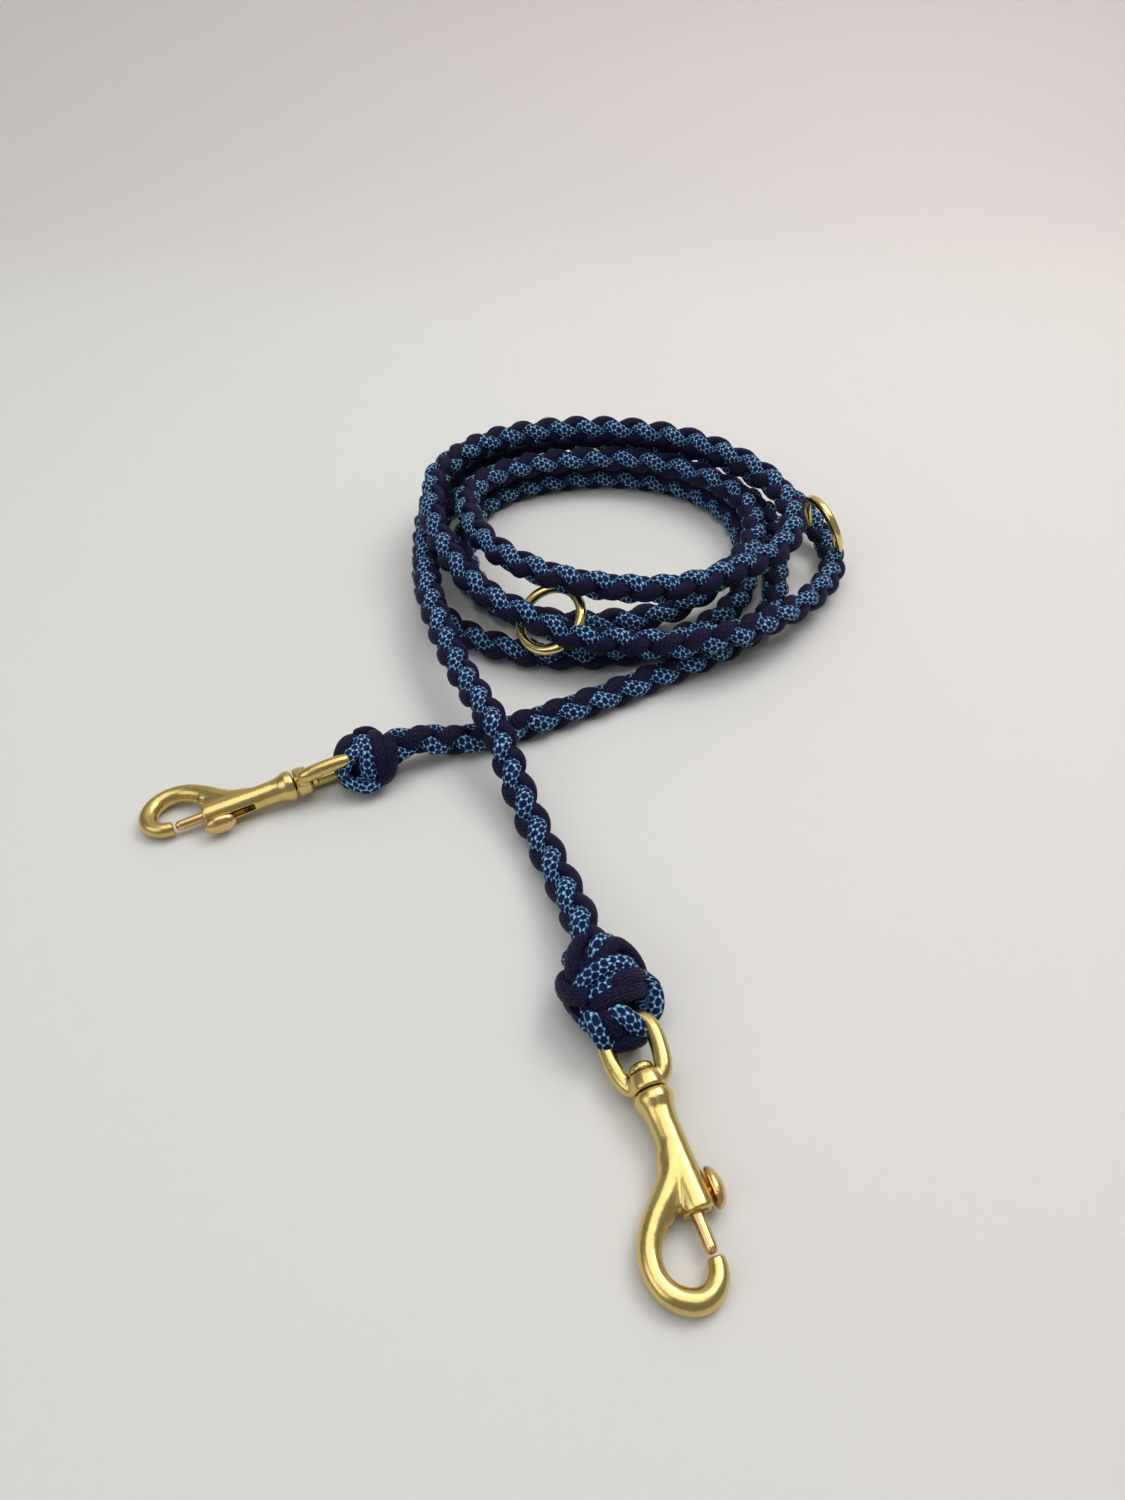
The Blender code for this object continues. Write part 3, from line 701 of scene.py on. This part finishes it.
# Turned profiles are (S, radius) pairs, and bars are (S, Q, radius).
BARREL = [
    (0.0, 3.9), (0.35, 4.4), (1.0, 4.6), (2.3, 4.6), (3.2, 4.25), (4.4, 3.75), (6.5, 3.48),
    (10.0, 3.42), (15.0, 3.5), (20.0, 3.72), (25.0, 3.85), (26.4, 3.8), (NOSE_S, 3.55),
]
SHANK = [(-7.0, 1.9), (-6.8, 2.6), (-6.2, 2.95), (-5.0, 2.95), (-4.99, 1.6), (0.6, 1.6)]
COLLAR = [(-4.7, 3.3), (-4.3, 4.0), (-3.0, 4.25), (-1.2, 4.35), (-0.5, 4.2), (-0.3, 3.9)]
COLLAR_BORE = [(-12.0, 3.2), (-4.72, 3.2), (-4.70, 1.9), (1.0, 1.9)]
BOLT = [
    (BOLT_SPAN[0], 1.1), (BOLT_SPAN[0] + 0.3, BOLT_R), (BOLT_SPAN[1] - 1.2, BOLT_R),
    (BOLT_SPAN[1] - 0.5, 1.25), (BOLT_SPAN[1] - 0.1, 0.8), (BOLT_SPAN[1], 0.3),
]
HOOK = [
    (13.0, -0.3, 2.9), (17.0, -1.6, 3.2), (20.5, -4.4, 3.2), (24.0, -8.0, 3.0),
    (27.5, -11.2, 2.75), (31.0, -13.0, 2.6), (35.0, -13.35, 2.55), (38.8, -11.9, 2.6),
    (41.3, -8.9, 2.65), (41.9, -5.4, 2.6), (40.3, -2.4, 2.4), (37.7, -0.85, 2.2),
    (35.5, -0.6, 2.0),
]
# two bars that fill the web between the barrel and the hook
SHOULDER = [(10.0, -0.2, 3.1), (15.0, -1.0, 3.5), (19.0, -3.0, 3.3), (22.5, -5.6, 2.9),
            (25.6, -8.2, 2.5)]
WEB = [(14.0, -1.2, 3.3), (19.0, -2.8, 3.1), (22.6, -4.0, 2.7), (25.0, -4.6, 2.2)]
# half of the eye's bow, (S, Q) from the collar to its middle, and the radius at each
LIMB = [(-1.9, 2.7), (-3.0, 4.1), (-5.2, 5.15), (-8.8, 5.85), (-12.5, 6.05), (-15.4, 5.5),
        (-17.4, 4.0), (-18.1, 2.3), (BOW_S, 0.0)]
LIMB_R = [1.7, 2.0, 2.15, 2.15, 2.1, 2.0, 1.85, 1.75, 1.75]
# the thumb knob's dome, (Q from the bolt's middle, share of its full size)
DOME = [(4.5, 0.3), (4.55, 0.80), (4.9, 0.97), (5.4, 1.0), (6.1, 0.93), (6.8, 0.74), (7.3, 0.48),
        (7.5, 0.2)]
DOME_HALF = (4.6, 3.1)   # half its length along the barrel and half its width
SPRING_WIRE_R = 0.24
SPRING_TURNS = 6


def thumb_shell():
    """Stalk through the slot and a domed shell on it, longer along the barrel than across."""
    foot = rod([(KNOB_S, BOLT_Q + q, 0.0) for q in (1.0, 3.0, 4.8, 5.4)], [0.95, 0.95, 1.5, 1.9],
               24, curve=False)
    path = np.array([(KNOB_S - 0.4, BOLT_Q + q, 0.0) for q, _ in DOME])
    scale = np.array([share for _, share in DOME])
    dome = sections(path, np.broadcast_to([1.0, 0.0, 0.0], path.shape), DOME_HALF[0] * scale,
                    DOME_HALF[1] * scale, 36, 2.0)
    faces, _ = skin_data(dome, length_along(path))
    return [foot, (dome.reshape(-1, 3), faces)]


def snap(name, spec):
    """A snap's five pieces, by the names of the nodes that they stand for."""
    origin, axes = snap_frame(spec)
    shells = [turned(BARREL), *[flat_rod(bar) for bar in (HOOK, SHOULDER, WEB)], turned(SHANK, 32)]
    cuts = [turned([(BORE_END, BORE_R), (NOSE_S + 5.5, BORE_R)], 32, BOLT_Q),
            block((SLOT_S, BOLT_Q, -SLOT_W / 2), (NOSE_S + 1.5, 8.0, SLOT_W / 2))]
    made = {"snap_body": cast(f"{name}_snap_cast", shells, cuts, BRASS, origin, axes)}

    limb = [(s, -q) for s, q in LIMB] + [(s, q) for s, q in LIMB[-2::-1]]
    radii = LIMB_R + LIMB_R[-2::-1]
    shells = [rod([(s, q, 0.0) for s, q in limb], radii), turned(COLLAR)]
    shells = [(rolled(verts, spec["roll"]), faces) for verts, faces in shells]
    made["swivel_eye"] = cast(f"{name}_eye_cast", shells, [turned(COLLAR_BORE, 32)], BRASS, origin,
                              axes, 0.28, 5)

    made["bolt"] = cast(f"{name}_bolt_bar", [turned(BOLT, 32, BOLT_Q)], [], BRONZE, origin, axes,
                        0.16, 2)
    made["thumb_knob"] = cast(f"{name}_knob_cap", thumb_shell(), [], BRONZE, origin, axes, 0.2, 3)

    per = 28
    lo, hi = BORE_END + 0.5, BOLT_SPAN[0] - 0.4
    a = np.arange(SPRING_TURNS * per + 1) * TAU / per
    r = BORE_R - 0.25 - SPRING_WIRE_R
    helix = np.stack([lo + (hi - lo) * a / a[-1], BOLT_Q + r * np.cos(a), r * np.sin(a)], axis=1)
    out = np.stack([0 * a, np.cos(a), np.sin(a)], axis=1)
    rings = sections(helix, out, SPRING_WIRE_R, SPRING_WIRE_R, 10, 2.0)
    faces, _ = skin_data(rings, length_along(helix))
    made["bolt_spring"] = mesh_object(f"{name}_spring_wire",
                                      origin + rings.reshape(-1, 3) @ axes, faces, STEEL)
    return made


snaps = {name: snap(name, spec) for name, spec in SNAPS.items()}


def o_ring(name, centre, axis):
    """A plain ring of round wire."""
    a, u, v = ring_frame(axis)
    ang = np.linspace(0, 2 * np.pi, 120, endpoint=False)
    spoke = np.cos(ang)[:, None] * u + np.sin(ang)[:, None] * v
    path = np.array(centre) + CENTRE + RING_R * spoke
    ang2 = 2 * np.pi * np.arange(28) / 28
    rings = (path[:, None, :] + RING_WIRE_R * (np.cos(ang2)[None, :, None] * spoke[:, None, :]
                                               + np.sin(ang2)[None, :, None] * a))
    faces, _ = skin_data(rings, length_along(path), closed=True)
    obj = mesh_object(name + "_wire", rings.reshape(-1, 3), faces, BRASS_RING)
    bm = bmesh.new()
    bm.from_mesh(obj.data)
    bmesh.ops.recalc_face_normals(bm, faces=bm.faces)
    bm.to_mesh(obj.data)
    bm.free()
    return obj


o_rings = {name: o_ring(name, *where) for name, where in RINGS.items()}


# ---------------------------------------------------------------- what each piece stands for
def belongs(piece, body, slot, *nodes):
    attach(piece, body)
    if nodes:
        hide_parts(*nodes)


for name, strand in strands.items():
    tone = "patterned_cord" if name.startswith("patterned") else "navy_cord"
    belongs(strand, "rope", tone, "braided_rope")
on_cord = [strands[k] for k in ("patterned_b", "navy_a", "navy_b")]
for name, pieces in knots.items():
    for key, piece in pieces.items():
        tone = "patterned_cord" if key.startswith("patterned") else "navy_cord"
        node = f"{name}_{key}" if key.endswith("loop") else f"{name}_knot"
        belongs(piece, "rope", tone, node)
        on_cord.append(piece)
for name, pieces in snaps.items():
    for node, body, slot in (("snap_body", "snap", "brass"), ("swivel_eye", "eye", "brass"),
                             ("bolt", "bolt", "bronze"), ("thumb_knob", "bolt", "bronze"),
                             ("bolt_spring", "snap", "steel_spring")):
        belongs(pieces[node], f"{name}_{body}", slot, f"{name}_{node}")
for name, piece in o_rings.items():
    belongs(piece, name, "brass", name)


# ---------------------------------------------------------------- studio
def stage_material():
    """Matt paper, with painted warm light to the right and painted shade, darker and warmer, at the
    back.
    """
    n = Nodes("studio_paper")
    here = n.coords()
    split = n.new("ShaderNodeSeparateXYZ")
    n.link(here, split.inputs[0])
    # painted warm light: the floor is warmer towards the right
    right = n.ramp(split.outputs[0], -0.3, 0.6)
    # painted shade: darker and warmer towards the back and up the sweep
    back = n.ramp(split.outputs[1], 0.35, 0.75)
    floor = n.mix(right, (0.735, 0.745, 0.725), (0.765, 0.725, 0.70))
    n.link(n.mix(back, floor, (0.70, 0.655, 0.64)), n.shader.inputs["Base Color"])
    n.shader.inputs["Roughness"].default_value = 0.55
    n.shader.inputs["Specular IOR Level"].default_value = 0.3
    return n.mat


FLOOR_BACK = 0.52
SWEEP_R = 0.22
FLOOR_HALF = 1.6
profile = [(-1.2, 0.0), (-0.4, 0.0), (0.0, 0.0), (0.3, 0.0)]     # Y and Z, in metres
profile += [(FLOOR_BACK + SWEEP_R * math.sin(a), SWEEP_R * (1 - math.cos(a)))
            for a in np.linspace(0, math.pi / 2, 24)]
profile += [(FLOOR_BACK + SWEEP_R, 0.8), (FLOOR_BACK + SWEEP_R, 1.6)]
floor_verts = [(x / MM, y / MM, z / MM) for y, z in profile for x in (-FLOOR_HALF, FLOOR_HALF)]
floor_faces = [(2 * i, 2 * i + 1, 2 * i + 3, 2 * i + 2) for i in range(len(profile) - 1)]
floor = mesh_object("studio_floor", floor_verts, floor_faces, stage_material())


def area_light(name, place, aim, size, watts, colour):
    """A soft rectangular lamp at place, turned to aim."""
    data = bpy.data.lights.new(name, "AREA")
    data.shape = "RECTANGLE"
    data.size, data.size_y = size
    data.energy = watts
    data.color = colour
    obj = bpy.data.objects.new(name, data)
    obj.location = place
    direction = Vector(aim) - Vector(place)
    obj.rotation_euler = direction.to_track_quat("-Z", "Y").to_euler()
    bpy.context.scene.collection.objects.link(obj)


area_light("key", (0.55, 0.35, 0.95), (0.0, 0.05, 0.0), (0.7, 0.5), 5.0, (1.0, 0.985, 0.96))
area_light("top", (-0.1, 0.1, 1.3), (0.0, 0.1, 0.0), (1.2, 1.2), 6.6, (1.0, 0.99, 0.985))
area_light("fill", (-0.8, -0.5, 0.7), (0.0, 0.0, 0.0), (0.8, 0.6), 2.0, (0.97, 0.985, 1.0))

world = bpy.data.worlds.new("studio")
world.use_nodes = True
sky = world.node_tree.nodes["Background"]
sky.inputs["Color"].default_value = (0.92, 0.92, 0.93, 1.0)
sky.inputs["Strength"].default_value = 0.27
bpy.context.scene.world = world
bpy.context.scene.view_settings.view_transform = "Standard"
